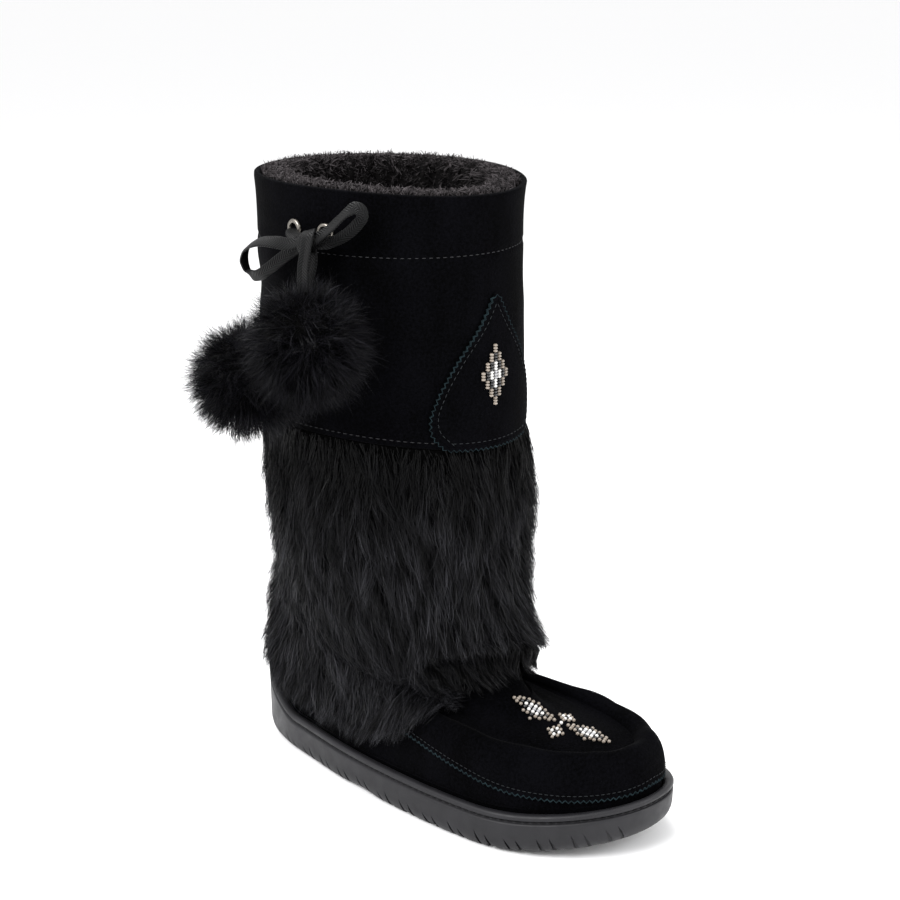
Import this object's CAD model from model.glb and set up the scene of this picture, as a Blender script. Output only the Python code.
"""Looks of the mukluk boot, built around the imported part.

The file follows the boot as it is put together: sole, lasted upper, moccasin front, fur sleeve,
shaft top, trims, then the camera, floor and light. Metres, +Z up, toe towards +Y, outer side
towards +X.
"""
import math
import random
import bpy
import bmesh
import numpy as np
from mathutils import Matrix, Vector
from mathutils.kdtree import KDTree


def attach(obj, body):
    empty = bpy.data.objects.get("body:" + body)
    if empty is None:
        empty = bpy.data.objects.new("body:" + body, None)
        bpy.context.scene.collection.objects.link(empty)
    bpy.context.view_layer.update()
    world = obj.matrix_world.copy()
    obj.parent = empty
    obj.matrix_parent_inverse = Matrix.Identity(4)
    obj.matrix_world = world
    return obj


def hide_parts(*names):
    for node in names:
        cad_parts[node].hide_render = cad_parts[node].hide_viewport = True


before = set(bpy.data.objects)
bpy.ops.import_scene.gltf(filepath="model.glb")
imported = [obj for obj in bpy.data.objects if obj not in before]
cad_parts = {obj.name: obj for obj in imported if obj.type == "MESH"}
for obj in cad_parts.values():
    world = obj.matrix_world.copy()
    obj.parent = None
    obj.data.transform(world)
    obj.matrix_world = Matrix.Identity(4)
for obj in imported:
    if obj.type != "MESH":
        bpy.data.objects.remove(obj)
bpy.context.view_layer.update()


# Outsole
# A moulded rubber cup sole: satin charcoal, with a rounded lip, a stitched groove under it,
# slanting notches along the lower edge and bars across the tread.

LENGTH, BALL_WIDTH, HEEL_REST = 0.280, 0.109, 0.045
TOE_SPRING, HEEL_LIFT, ARCH_LIFT = 0.014, 0.005, 0.0015
FLOOR_THICKNESS, LIP_HEIGHT, HEEL_TAB = 0.010, 0.0235, 0.026
OUTLINE = (
    # share of the length, width, shift of the middle, as shares of the ball width
    (0.00, 0.630, 0.000),
    (0.10, 0.655, 0.000),
    (0.20, 0.700, 0.028),
    (0.34, 0.750, 0.078),
    (0.50, 0.840, 0.083),
    (0.66, 0.970, 0.032),
    (0.78, 1.000, -0.005),
    (0.90, 0.965, -0.046),
    (1.00, 0.900, -0.073),
)
HEEL_CAP, TOE_CAP, CAP_POWER = 0.16, 0.28, 2.2
HEEL_ROUND, SPRING_START = 0.09, 0.70
TAB_REACH, TAB_POWER = 0.17, 1.6
SOLE_PROFILE = (
    # inset, from, height
    (0.0050, "tread", 0.0000),
    (0.0036, "tread", 0.0005),
    (0.0023, "tread", 0.0016),
    (0.0014, "tread", 0.0030),
    (0.0007, "tread", 0.0048),
    (0.0003, "tread", 0.0070),
    (0.0000, "lip", -0.0072),
    (0.0000, "lip", -0.0060),
    (0.0004, "lip", -0.0054),
    (0.0013, "lip", -0.0050),
    (0.0016, "lip", -0.0044),
    (0.0013, "lip", -0.0038),
    (0.0004, "lip", -0.0034),
    (-0.0001, "lip", -0.0028),
    (-0.0001, "lip", -0.0018),
    (0.0003, "lip", -0.0009),
    (0.0010, "lip", -0.0003),
    (0.0022, "lip", 0.0000),
    (0.0036, "lip", -0.0002),
    (0.0047, "lip", -0.0010),
    (0.0052, "lip", -0.0024),
    (0.0052, "floor", 0.0000),
)
NOTCH_SPACING, NOTCH_WIDTH, NOTCH_HEIGHT = 0.0092, 0.0027, 0.0088
NOTCH_DEPTH, NOTCH_LEAN = 0.0046, 0.0050
TREAD_DEPTH, TREAD_WIDTH, TREAD_SLANT = 0.0025, 0.0050, 0.12
TREAD_BARS = (0.085, 0.235, 0.300, 0.520, 0.590, 0.735, 0.800, 0.865)


def smooth(value):
    value = np.clip(value, 0.0, 1.0)
    return value * value * (3.0 - 2.0 * value)


def two_columns(table):
    return [row[0] for row in table], [row[1] for row in table]


def table_curve(shares, values, at):
    """Smooth curve through a table's values: a cubic with the slopes of its neighbours."""
    shares, values = np.asarray(shares, float), np.asarray(values, float)
    slopes = np.gradient(values, shares)
    i = np.clip(np.searchsorted(shares, at, side="right") - 1, 0, len(shares) - 2)
    step = shares[i + 1] - shares[i]
    t = (at - shares[i]) / step
    return (values[i] * (1 + 2 * t) * (1 - t) ** 2 + slopes[i] * step * t * (1 - t) ** 2
            + values[i + 1] * t * t * (3 - 2 * t) - slopes[i + 1] * step * t * t * (1 - t))


def round_end(distance, cap):
    inside = np.clip(1.0 - distance / cap, 0.0, 1.0)
    return (1.0 - inside ** CAP_POWER) ** (1.0 / CAP_POWER)


def foot_ring(angles, inset_heel, inset_ball, end_heel, end_toe):
    """The foot's outline, drawn in by insets, between two ends. Angle 0 is at the heel."""
    shares = [row[0] for row in OUTLINE]
    y = end_heel + (end_toe - end_heel) * (1.0 - np.cos(angles)) / 2.0
    share = y / LENGTH
    inset = inset_heel + (inset_ball - inset_heel) * smooth((share - 0.28) / 0.42)
    half = BALL_WIDTH * table_curve(shares, [row[1] for row in OUTLINE], share) / 2.0 - inset
    half = half * round_end(y - end_heel, HEEL_CAP * LENGTH)
    half = half * round_end(end_toe - y, TOE_CAP * LENGTH)
    middle = BALL_WIDTH * table_curve(shares, [row[2] for row in OUTLINE], share)
    return middle + np.where(np.sin(angles) >= 0.0, half, -half), y


def toe_spring(share):
    return TOE_SPRING * np.clip((share - SPRING_START) / (1.0 - SPRING_START), 0.0, 1.0) ** 2


def tread_height(share):
    heel = HEEL_LIFT * np.clip(1.0 - share / HEEL_ROUND, 0.0, 1.0) ** 2
    arch = ARCH_LIFT * np.sin(math.pi * np.clip((share - 0.33) / 0.14, 0.0, 1.0)) ** 2
    return toe_spring(share) + heel + arch


def floor_height(share):
    return FLOOR_THICKNESS + toe_spring(share)


def lip_height(share):
    tab = HEEL_TAB * np.clip(1.0 - share / TAB_REACH, 0.0, 1.0) ** TAB_POWER
    return LIP_HEIGHT + 0.75 * toe_spring(share) + tab


def sole_ring(angles, inset, height):
    x, y = foot_ring(angles, inset, inset, inset, LENGTH - inset)
    return np.stack([x, y - HEEL_REST, height(y / LENGTH)], axis=-1)


def ring_angles(count):
    return np.arange(count) * 2.0 * math.pi / count


def grid_faces(rows, columns, wrap=True):
    """Quads of a grid whose columns run round and whose rows run up."""
    r = np.arange(rows - 1)[:, None]
    c = np.arange(columns if wrap else columns - 1)[None, :]
    a, b = r * columns + c, r * columns + (c + 1) % columns
    return np.stack([a, b, b + columns, a + columns], axis=-1).reshape(-1, 4)


def round_faces(rows, columns):
    """Quads of rings whose last ring joins the first."""
    last, i = (rows - 1) * columns, np.arange(columns)
    after = (i + 1) % columns
    closing = np.stack([last + i, last + after, after, i], axis=-1)
    return np.concatenate([grid_faces(rows, columns), closing])


def end_faces(first, count, upward):
    """Strips that close a ring from its outer side to its inner side."""
    faces = []
    for i in range(count // 2):
        corners = (first + i, first + i + 1, first + (count - i - 1) % count,
                   first + (count - i) % count)
        face = list(dict.fromkeys(corners))
        if len(face) > 2:
            faces.append(face if upward else face[::-1])
    return faces


def new_object(name, data):
    made = bpy.data.objects.new(name, data)
    bpy.context.scene.collection.objects.link(made)
    return made


def add_piece(name, points, faces, material=None, sharp=40.0):
    mesh = bpy.data.meshes.new(name)
    mesh.from_pydata(np.asarray(points, float).tolist(), [], [list(map(int, f)) for f in faces])
    mesh.validate()
    if material:
        mesh.materials.append(material)
    mesh.shade_smooth()
    if sharp:
        mesh.set_sharp_from_angle(angle=math.radians(sharp))
    return new_object(name, mesh)


def set_down(piece, slot, *nodes):
    """Rides the piece on the boot and names the slot and the solids that it stands for."""
    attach(piece, "root")
    if nodes:
        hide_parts(*nodes)
    return piece


def new_material(name, colour, roughness, **sockets):
    material = bpy.data.materials.new(name)
    material.use_nodes = True
    tree = material.node_tree
    shader = tree.nodes["Principled BSDF"]
    shader.inputs["Base Color"].default_value = (*colour, 1.0)
    shader.inputs["Roughness"].default_value = roughness
    for socket, value in sockets.items():
        shader.inputs[socket.replace("_", " ")].default_value = value
    return material, tree, shader


def add_node(tree, kind, inputs=None, **settings):
    node = tree.nodes.new(kind)
    for name, value in settings.items():
        setattr(node, name, value)
    for socket, value in (inputs or {}).items():
        if isinstance(value, bpy.types.NodeSocket):
            tree.links.new(value, node.inputs[socket])
        else:
            node.inputs[socket].default_value = value
    return node


def noise(tree, scale, detail=2.0, stretch=(1.0, 1.0, 1.0)):
    """Noise in the boot's own metres: scale counts waves to the metre."""
    place = add_node(tree, "ShaderNodeTexCoord").outputs["Object"]
    turn = add_node(tree, "ShaderNodeMapping", {"Vector": place, "Scale": stretch})
    made = add_node(tree, "ShaderNodeTexNoise", {"Vector": turn.outputs["Vector"],
                                                 "Scale": scale, "Detail": detail})
    return made.outputs["Fac"]


def ramp(tree, value, *stops):
    """A colour ramp: each stop is a place and a colour or a grey."""
    node = add_node(tree, "ShaderNodeValToRGB", {"Fac": value})
    elements = node.color_ramp.elements
    while len(elements) < len(stops):
        elements.new(0.5)
    for element, (place, colour) in zip(elements, stops):
        element.position = place
        colour = (colour,) * 3 if isinstance(colour, float) else colour
        element.color = (*colour, 1.0)
    return node.outputs["Color"]


def bump(tree, shader, height, distance, strength=1.0, under=None):
    inputs = {"Height": height, "Distance": distance, "Strength": strength}
    if under:
        inputs["Normal"] = under
    node = add_node(tree, "ShaderNodeBump", inputs)
    tree.links.new(node.outputs["Normal"], shader.inputs["Normal"])
    return node.outputs["Normal"]


def rubber_finish():
    material, tree, shader = new_material("moulded_rubber", (0.011, 0.011, 0.0125), 0.5,
                                          Specular_IOR_Level=0.28)
    cloud = noise(tree, 55.0, 3.0)
    tree.links.new(ramp(tree, cloud, (0.3, (0.0090, 0.0088, 0.0104)), (0.7, (0.0130, 0.0127, 0.0150))),
                   shader.inputs["Base Color"])
    tree.links.new(ramp(tree, noise(tree, 160.0, 3.0), (0.3, 0.42), (0.7, 0.58)),
                   shader.inputs["Roughness"])
    bump(tree, shader, noise(tree, 1800.0, 2.0), 0.00006)
    return material


def face_outwards(mesh):
    fix = bmesh.new()
    fix.from_mesh(mesh)
    bmesh.ops.recalc_face_normals(fix, faces=fix.faces)
    fix.to_mesh(mesh)
    fix.free()


def notch_wedges():
    """The slanting notches' cutter: one wedge every few millimetres round the lower edge."""
    angles = np.linspace(0.0, 2.0 * math.pi, 1600)
    x, y = foot_ring(angles, 0.0, 0.0, 0.0, LENGTH)
    walked = np.concatenate([[0.0], np.cumsum(np.hypot(np.diff(x), np.diff(y)))])
    count = int(walked[-1] / NOTCH_SPACING)
    chip = random.Random(3)
    points, faces = [], []
    for n in range(count):
        place = (n + 0.5 + 0.13 * (-1) ** n) * walked[-1] / count
        spot = np.array([np.interp(place, walked, x), np.interp(place, walked, y)])
        ahead = np.array([np.interp(place + 0.001, walked, x),
                          np.interp(place + 0.001, walked, y)])
        side = 1.0 if place <= walked[-1] / 2.0 else -1.0
        along = side * (ahead - spot) / np.linalg.norm(ahead - spot)
        inward = side * np.array([-along[1], along[0]])
        share = spot[1] / LENGTH
        if not 0.05 < share < 0.995:
            continue
        low = float(tread_height(share))
        tall, wide = NOTCH_HEIGHT * chip.uniform(0.75, 1.1), NOTCH_WIDTH * chip.uniform(0.7, 1.15)
        first = len(points)
        for depth in (-0.002, NOTCH_DEPTH):
            for step, rise in ((-0.5 * wide, -0.002), (0.5 * wide, -0.002),
                               (-0.42 * NOTCH_LEAN, 0.55 * tall), (-NOTCH_LEAN, tall)):
                spread = spot + along * step + inward * depth * (1.0 if depth < 0 else
                                                                 1.0 - 0.8 * max(rise, 0.0)
                                                                 / NOTCH_HEIGHT)
                points.append((spread[0], spread[1] - HEEL_REST, low + rise))
        a = first
        faces += [(a, a + 1, a + 2), (a + 0, a + 2, a + 3), (a + 4, a + 6, a + 5),
                  (a + 4, a + 7, a + 6), (a, a + 4, a + 5, a + 1), (a + 1, a + 5, a + 6, a + 2),
                  (a + 2, a + 6, a + 7, a + 3), (a + 3, a + 7, a + 4, a)]
    cutter = add_piece("notch_wedges", points, faces, sharp=0.0)
    face_outwards(cutter.data)
    return cutter


def tread_bars():
    build = bmesh.new()
    for share in TREAD_BARS:
        bar = bmesh.ops.create_cube(build, size=1.0)["verts"]
        low = float(tread_height(share))
        centre = Vector((0.0, share * LENGTH - HEEL_REST, low))
        for vert in bar:
            vert.co = Vector((vert.co.x * 2.0 * BALL_WIDTH, vert.co.y * TREAD_WIDTH,
                              vert.co.z * 2.0 * TREAD_DEPTH)) + centre
            vert.co.y += TREAD_SLANT * vert.co.x
    mesh = bpy.data.meshes.new("tread_bars")
    build.to_mesh(mesh)
    build.free()
    return new_object("tread_bars", mesh)


def cut_away(piece, *cutters):
    """Cuts the solids away and leaves a plain mesh."""
    for cutter in cutters:
        cut = piece.modifiers.new(cutter.name, "BOOLEAN")
        cut.operation, cut.solver, cut.object = "DIFFERENCE", "EXACT", cutter
    baked = bpy.data.meshes.new_from_object(piece.evaluated_get(
        bpy.context.evaluated_depsgraph_get()))
    piece.modifiers.clear()
    piece.data = baked
    baked.shade_smooth()
    baked.set_sharp_from_angle(angle=math.radians(38.0))
    for cutter in cutters:
        bpy.data.objects.remove(cutter)


sole_angles = ring_angles(300)
sole_base = {"tread": tread_height, "lip": lip_height, "floor": floor_height}
sole_rings = [sole_ring(sole_angles, inset, lambda s, h=height, b=sole_base[start]: b(s) + h)
              for inset, start, height in SOLE_PROFILE]
sole_faces = grid_faces(len(sole_rings), 300).tolist()
sole_faces += end_faces(0, 300, False) + end_faces((len(sole_rings) - 1) * 300, 300, True)
rubber = rubber_finish()
outsole = add_piece("rubber_outsole", np.concatenate(sole_rings), sole_faces, rubber)
cut_away(outsole, notch_wedges(), tread_bars())
set_down(outsole, "rubber", "outsole")


# Stitches
# Short lengths of thread laid end to end in a row, half sunk into what they hold. One tree of
# geometry nodes lays every row on the boot along its own line.

def repeat_tree(name, sizes, finish, spread, segments, rings):
    """A tree that sets one rounded grain at each place that spread gives. The last two sizes
    are the grain's radius and length."""
    tree = bpy.data.node_groups.new(name, "GeometryNodeTree")
    face = tree.interface
    face.new_socket("Geometry", in_out="INPUT", socket_type="NodeSocketGeometry")
    for size in sizes:
        face.new_socket(size, in_out="INPUT", socket_type="NodeSocketFloat")
    face.new_socket(finish, in_out="INPUT", socket_type="NodeSocketMaterial")
    face.new_socket("Geometry", in_out="OUTPUT", socket_type="NodeSocketGeometry")
    given = tree.nodes.new("NodeGroupInput").outputs
    points, turn = spread(tree, given)
    radius, length = given[sizes[-2]], given[sizes[-1]]
    size = add_node(tree, "ShaderNodeCombineXYZ", {"X": radius, "Y": radius, "Z": length})
    grain = add_node(tree, "GeometryNodeMeshUVSphere",
                     {"Segments": segments, "Rings": rings, "Radius": 1.0})
    laid = add_node(tree, "GeometryNodeInstanceOnPoints",
                    {"Points": points, "Instance": grain.outputs["Mesh"], "Rotation": turn,
                     "Scale": size.outputs["Vector"]})
    real = add_node(tree, "GeometryNodeRealizeInstances", {"Geometry": laid.outputs[0]})
    done = add_node(tree, "GeometryNodeSetMaterial", {"Geometry": real.outputs[0],
                                                      "Material": given[finish]})
    out = tree.nodes.new("NodeGroupOutput")
    tree.links.new(done.outputs[0], out.inputs[0])
    return tree


def along_line(tree, given):
    spots = add_node(tree, "GeometryNodeCurveToPoints",
                     {"Curve": given["Geometry"], "Length": given["Pitch"]}, mode="LENGTH")
    return spots.outputs["Points"], spots.outputs["Rotation"]


STITCH_TREE = repeat_tree("stitch_row", ("Pitch", "Thread Radius", "Thread Length"), "Thread",
                          along_line, 6, 4)


def through_nodes(source, tree, values, name):
    """Runs the tree on an object and returns a plain mesh object in its place."""
    change = source.modifiers.new(name, "NODES")
    change.node_group = tree
    sockets = {item.name: item.identifier for item in tree.interface.items_tree
               if item.in_out == "INPUT"}
    for socket, value in values.items():
        change[sockets[socket]] = value
    bpy.context.view_layer.update()
    mesh = bpy.data.meshes.new_from_object(source.evaluated_get(
        bpy.context.evaluated_depsgraph_get()))
    bpy.data.objects.remove(source)
    mesh.name = name
    mesh.shade_smooth()
    return new_object(name, mesh)


def stitch_rows(name, lines, thread, pitch=0.0038, length=0.0027, radius=0.00028):
    """Rows of stitches along lines of points, as one piece."""
    curve = bpy.data.curves.new(name, "CURVE")
    curve.dimensions = "3D"
    for line in lines:
        spline = curve.splines.new("POLY")
        spline.points.add(len(line) - 1)
        for spot, point in zip(spline.points, line):
            spot.co = (*point, 1.0)
    source = new_object(name, curve)
    return through_nodes(source, STITCH_TREE, {"Pitch": pitch, "Thread Length": length / 2.0,
                                               "Thread Radius": radius, "Thread": thread}, name)


def thread_finish(name, colour):
    material, tree, shader = new_material(name, colour, 0.7, Specular_IOR_Level=0.2)
    bump(tree, shader, noise(tree, 3000.0, 1.0), 0.00005)
    return material


groove_line = sole_ring(np.linspace(0.0, 2.0 * math.pi, 500), 0.0012,
                        lambda s: lip_height(s) - 0.0044)
groove_stitches = stitch_rows("groove_stitches", [groove_line],
                              thread_finish("black_thread", (0.006, 0.006, 0.007)),
                              pitch=0.0046, length=0.0037, radius=0.00045)
set_down(groove_stitches, "rubber")


# Lasted upper
# One suede body, foot and shaft in one: black suede over a pile lining, with a turned collar
# and a folded hem that stands over the fur.

UPPER_INSET, LIP_REVEAL, SEAM_REVEAL = 0.0057, 0.0025, 0.0057
WALL, OVERLAY, GAP = 0.0030, 0.0015, 0.0003
INSTEP_HEIGHT = 0.108
SHAFT_DEPTH, SHAFT_WIDTH, SHAFT_CENTRE, SHAFT_TOP = 0.158, 0.1346, 0.0927, 0.3495
CHANNEL_HEIGHT, HEM_HEIGHT, HEM_DIP, COLLAR_DIP = 0.315, 0.2155, 0.0065, 0.0035
FUR_INSET, FUR_CLEARANCE = 0.005, 0.0018
CHANNEL_SHARE = (CHANNEL_HEIGHT - HEM_HEIGHT) / (SHAFT_TOP - HEM_HEIGHT)
FOOT_ROWS = (
    # label, z_heel, z_toe, end_heel, end_toe, inset_heel, inset_ball, blend, width
    ("over_lip", 0.500, 0.350, 0.0150, 0.9830, 0.037, 0.032, 0.00, 0.80),
    ("seam", 0.530, 0.395, 0.0180, 0.9800, 0.046, 0.034, 0.00, 0.80),
    ("side", 0.590, 0.480, 0.0200, 0.9700, 0.052, 0.052, 0.00, 0.80),
    ("crest", 0.660, 0.535, 0.0230, 0.9530, 0.056, 0.086, 0.00, 0.80),
    ("roll", 0.730, 0.520, 0.0270, 0.9330, 0.060, 0.125, 0.00, 0.80),
    ("plug_edge", 0.790, 0.474, 0.0310, 0.9120, 0.064, 0.165, 0.00, 0.80),
    ("plug_toe", 0.855, 0.502, 0.0360, 0.8500, 0.068, 0.250, 0.04, 0.80),
    ("plug_mid", 0.930, 0.570, 0.0440, 0.7380, 0.072, 0.330, 0.18, 0.81),
    ("instep", 1.020, 0.735, 0.0560, 0.6560, 0.076, 0.340, 0.50, 0.84),
    ("ankle", 1.160, 1.000, 0.0680, 0.6200, 0.080, 0.300, 0.85, 0.90),
)
LEG_ROWS = (
    # label, span, share, depth, width, shift
    ("lower_leg", "leg", 0.36, 0.955, 0.945, 0.0220),
    ("calf", "leg", 0.70, 0.985, 0.985, 0.0075),
    ("hem", "leg", 1.00, 1.000, 1.000, 0.0000),
    ("shaft", "top", 0.38, 0.998, 0.998, 0.0000),
    ("channel", "top", CHANNEL_SHARE, 0.993, 0.993, 0.0000),
    ("drawn", "top", 0.90, 0.997, 0.997, 0.0000),
    ("collar", "top", 1.00, 1.012, 1.012, 0.0000),
)
LABELS = ["floor", "cup", "lip"] + [row[0] for row in FOOT_ROWS + LEG_ROWS]
LEVEL = {label: float(number) for number, label in enumerate(LABELS)}
TOP_LEVEL = len(LABELS) - 1.0


def sunk_row(angles, rise):
    x, y = foot_ring(angles, UPPER_INSET, UPPER_INSET, UPPER_INSET, LENGTH - UPPER_INSET)
    return np.stack([x, y - HEEL_REST, rise(y / LENGTH)], axis=-1)


def foot_row(angles, row):
    _, z_heel, z_toe, end_heel, end_toe, inset_heel, inset_ball, blend, width = row
    back, front = end_heel * LENGTH, end_toe * LENGTH
    x, y = foot_ring(angles, inset_heel * BALL_WIDTH, inset_ball * BALL_WIDTH, back, front)
    along = (1.0 - np.cos(angles)) / 2.0
    x = x * (1.0 - blend) + blend * width * SHAFT_WIDTH / 2.0 * np.sin(angles)
    y = y * (1.0 - blend) + blend * (back + (front - back) * along)
    z = INSTEP_HEIGHT * (z_toe + (z_heel - z_toe) * smooth(1.0 - along))
    if row is FOOT_ROWS[0]:
        z = lip_height(y / LENGTH) + LIP_REVEAL
    if row is FOOT_ROWS[1]:
        z = np.maximum(z, lip_height(y / LENGTH) + SEAM_REVEAL)
    return np.stack([x, y - HEEL_REST, z], axis=-1)


def leg_row(angles, row):
    _, span, share, depth, width, shift = row
    low, high = (INSTEP_HEIGHT, HEM_HEIGHT) if span == "leg" else (HEM_HEIGHT, SHAFT_TOP)
    dip = HEM_DIP * share if span == "leg" else HEM_DIP + (COLLAR_DIP - HEM_DIP) * share
    if span == "top":
        dip *= abs(2.0 * share - 1.0)
    y = SHAFT_CENTRE + shift * SHAFT_DEPTH - depth * SHAFT_DEPTH / 2.0 * np.cos(angles)
    x = width * SHAFT_WIDTH / 2.0 * np.sin(angles)
    z = low + (high - low) * share - dip * np.clip(-np.cos(angles), 0.0, 1.0) ** 2
    return np.stack([x, y - HEEL_REST, z], axis=-1)


def surface_chart(columns=720, fine=20):
    """Places and outward normals of the lasted surface on a fine grid: a row for each
    twentieth of a section, a column for each half degree."""
    angles = ring_angles(columns)
    rows = [sunk_row(angles, lambda share: floor_height(share) + GAP),
            sunk_row(angles, lambda share: (floor_height(share) + lip_height(share)) / 2.0),
            sunk_row(angles, lip_height)]
    rows += [foot_row(angles, row) for row in FOOT_ROWS]
    rows += [leg_row(angles, row) for row in LEG_ROWS]
    rows = np.array(rows)
    slopes = np.gradient(rows, axis=0)
    levels = np.arange(int(TOP_LEVEL) * fine + 1) / fine
    i = np.minimum(levels.astype(int), len(rows) - 2)
    t = (levels - i)[:, None, None]
    places = (rows[i] * (1 + 2 * t) * (1 - t) ** 2 + slopes[i] * t * (1 - t) ** 2
              + rows[i + 1] * t * t * (3 - 2 * t) - slopes[i + 1] * t * t * (1 - t))
    across = np.roll(places, -1, axis=1) - np.roll(places, 1, axis=1)
    normals = np.cross(across, np.gradient(places, axis=0))
    normals /= np.linalg.norm(normals, axis=2)[:, :, None]
    return places, normals


CHART_PLACES, CHART_NORMALS = surface_chart()


def on_boot(angles, levels, offset=0.0):
    """Points on the lasted surface, moved out along its normal."""
    angles, levels = np.broadcast_arrays(np.asarray(angles, float), np.asarray(levels, float))
    rows, columns = CHART_PLACES.shape[:2]
    u = np.mod(angles / (2.0 * math.pi), 1.0) * columns
    v = np.clip(levels, 0.0, TOP_LEVEL) * (rows - 1) / TOP_LEVEL
    c, r = u.astype(int) % columns, np.minimum(v.astype(int), rows - 2)
    s, t = (u - u.astype(int))[..., None], (v - r)[..., None]
    d = (c + 1) % columns

    def blend(chart):
        return ((chart[r, c] * (1 - s) + chart[r, d] * s) * (1 - t)
                + (chart[r + 1, c] * (1 - s) + chart[r + 1, d] * s) * t)

    return blend(CHART_PLACES) + blend(CHART_NORMALS) * np.asarray(offset, float)[..., None]


def level_at_height(angles, heights):
    """The level where the shaft passes each height."""
    angles, heights = np.broadcast_arrays(np.asarray(angles, float), np.asarray(heights, float))
    levels = np.linspace(LEVEL["ankle"], TOP_LEVEL, 260)
    flat = [np.interp(z, on_boot(np.full(260, a), levels)[:, 2], levels)
            for a, z in zip(angles.ravel(), heights.ravel())]
    return np.array(flat).reshape(angles.shape)


def shaft_angle(degrees):
    """Angle of the surface for a place seen from the shaft's middle, 0 straight ahead."""
    return math.pi - np.radians(degrees)


def on_shaft(degrees, heights, offset=0.0):
    angles = shaft_angle(np.asarray(degrees, float))
    return on_boot(angles, level_at_height(angles, heights), offset)


def tuck(levels):
    """How far the upper's own leather lies under the visible surface."""
    overlay = OVERLAY + GAP
    foot = overlay * smooth((levels - LEVEL["lip"]) / 0.8)
    leg = (FUR_INSET - overlay) * smooth((levels - LEVEL["plug_mid"] - 0.4) / 1.2)
    return (foot + leg) * (1.0 - smooth((levels - LEVEL["hem"] + 0.02) / 0.04))


# Soft creases of the shaft, placed by hand: troughs with low ridges beside them
SHAFT_CREASES = (
    # degrees and height at both ends, width, depth
    (100.0, 0.322, 120.0, 0.318, 0.0050, 0.0012),
    (72.0, 0.322, 52.0, 0.319, 0.0050, 0.0012),
    (86.5, 0.330, 86.5, 0.318, 0.0040, 0.0014),
    (40.0, 0.3195, 5.0, 0.3185, 0.0045, 0.0006),
    (65.0, 0.300, 48.0, 0.292, 0.0090, 0.0009),
    (60.0, 0.262, 40.0, 0.270, 0.0110, 0.0008),
    (75.0, 0.236, 50.0, 0.229, 0.0080, 0.0009),
    (118.0, 0.292, 150.0, 0.286, 0.0100, 0.0011),
    (110.0, 0.246, 146.0, 0.238, 0.0100, 0.0010),
    (170.0, 0.300, 205.0, 0.294, 0.0100, 0.0011),
    (172.0, 0.250, 212.0, 0.257, 0.0110, 0.0010),
    (-40.0, 0.296, -66.0, 0.288, 0.0100, 0.0010),
    (-52.0, 0.248, -84.0, 0.240, 0.0100, 0.0010),
    (-100.0, 0.305, -128.0, 0.298, 0.0100, 0.0011),
)
SHAFT_RADIUS = (SHAFT_DEPTH + SHAFT_WIDTH) / 4.0


def shaft_relief(degrees, heights):
    """Depth of the creases, the stitched channel and the hem at places of the shaft."""
    degrees, heights = np.broadcast_arrays(degrees, heights)
    relief = np.zeros(degrees.shape)
    for a, z_a, b, z_b, width, depth in SHAFT_CREASES:
        across = np.radians((degrees - a + 180.0) % 360.0 - 180.0) * SHAFT_RADIUS
        run = math.radians(b - a) * SHAFT_RADIUS
        t = np.clip((across * run + (heights - z_a) * (z_b - z_a))
                    / (run * run + (z_b - z_a) ** 2), 0.0, 1.0)
        away = np.hypot(across - run * t, heights - z_a - (z_b - z_a) * t) / width
        fade = np.sin(math.pi * (0.12 + 0.76 * t))
        relief += depth * fade * (0.45 * np.exp(-((away - 1.7) / 0.7) ** 2) - np.exp(-away ** 2))
    relief -= 0.0007 * np.exp(-((heights - CHANNEL_HEIGHT) / 0.0013) ** 2)
    relief += 0.0004 * np.sin(np.radians(degrees) * 3.0 + 40.0 * heights)
    return relief


def suede_finish(name):
    """Black suede: a short nap that catches a little light at grazing angles."""
    dark, pale = (0.0005, 0.0005, 0.00062), (0.0017, 0.0017, 0.0024)
    material, tree, shader = new_material(name, dark, 1.0, Specular_IOR_Level=0.02,
                                          Sheen_Weight=0.007, Sheen_Roughness=0.35)
    strokes = noise(tree, 38.0, 3.0, stretch=(1.0, 1.0, 0.45))
    fibres = noise(tree, 700.0, 2.0)
    both = add_node(tree, "ShaderNodeMath", {0: strokes, 1: fibres}, operation="ADD")
    half = add_node(tree, "ShaderNodeMath", {0: both.outputs[0], 1: 0.5}, operation="MULTIPLY")
    tree.links.new(ramp(tree, half.outputs[0], (0.38, dark), (0.62, pale)),
                   shader.inputs["Base Color"])
    grain = bump(tree, shader, noise(tree, 850.0, 3.0), 0.0005, 0.9)
    bump(tree, shader, noise(tree, 110.0, 3.0), 0.0007, 0.6, under=grain)
    return material


suede = suede_finish("black_suede")
upper_angles = ring_angles(288)
outside_levels = np.concatenate([
    np.arange(LEVEL["floor"], LEVEL["lip"], 0.5),
    np.arange(LEVEL["lip"], LEVEL["crest"], 0.2),
    np.arange(LEVEL["crest"], LEVEL["hem"] - 0.1, 0.5),
    [LEVEL["hem"] - 0.04, LEVEL["hem"] - 0.02, LEVEL["hem"]],
    np.arange(LEVEL["hem"] + 0.03, TOP_LEVEL - 0.1, 0.055),
    TOP_LEVEL - np.array([0.09, 0.06, 0.035, 0.015, 0.0]),
])
upper_degrees = np.degrees(math.pi - upper_angles)
upper_rings = []
for level in outside_levels:
    ring = on_boot(upper_angles, level)
    above = smooth((level - LEVEL["hem"] + 0.01) / 0.02) * smooth((TOP_LEVEL - level) / 0.25)
    relief = above * shaft_relief(upper_degrees, ring[:, 2])
    rim = max(0.0, 1.0 - (TOP_LEVEL - level) / 0.06)
    rounding = 0.0013 * (1.0 - math.sqrt(1.0 - rim * rim)) if rim < 1.0 else 0.0013
    upper_rings.append(on_boot(upper_angles, level, relief - float(tuck(level)) - rounding))
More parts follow.
